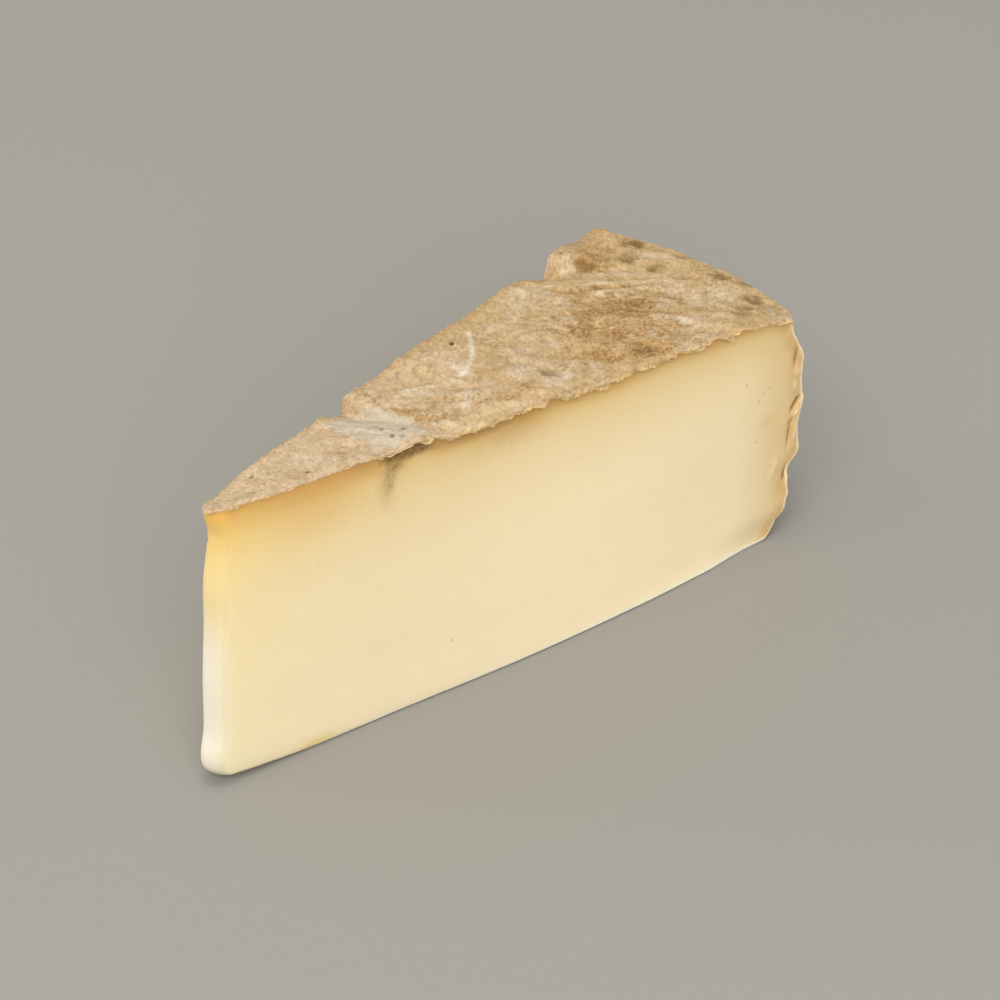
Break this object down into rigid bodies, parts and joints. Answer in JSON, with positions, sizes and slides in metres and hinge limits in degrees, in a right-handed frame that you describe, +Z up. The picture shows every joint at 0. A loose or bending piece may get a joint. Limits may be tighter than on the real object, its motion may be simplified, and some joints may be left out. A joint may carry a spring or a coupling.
{
  "type": "cheese wedge",
  "caption": "Tall narrow wedge of hard pressed cheese with smooth pale yellow cut faces and a mottled tan rind on its top and on its curved outer end.",
  "frame": {"origin": "the middle of the wedge's bounding box, at the height of the surface that it lies on", "axes": "+X along the wedge from its narrow tip to the curved side of the wheel, +Y towards the rear cut, +Z up through the rind on top"},
  "size_m": [0.1992, 0.0738, 0.0841],
  "materials": {
    "cheese": "satin, smooth cut paste with a dry velvety rind"
  },
  "bodies": {
    "root": {"cheese_wedge": "cheese"}
  },
  "joints": []
}
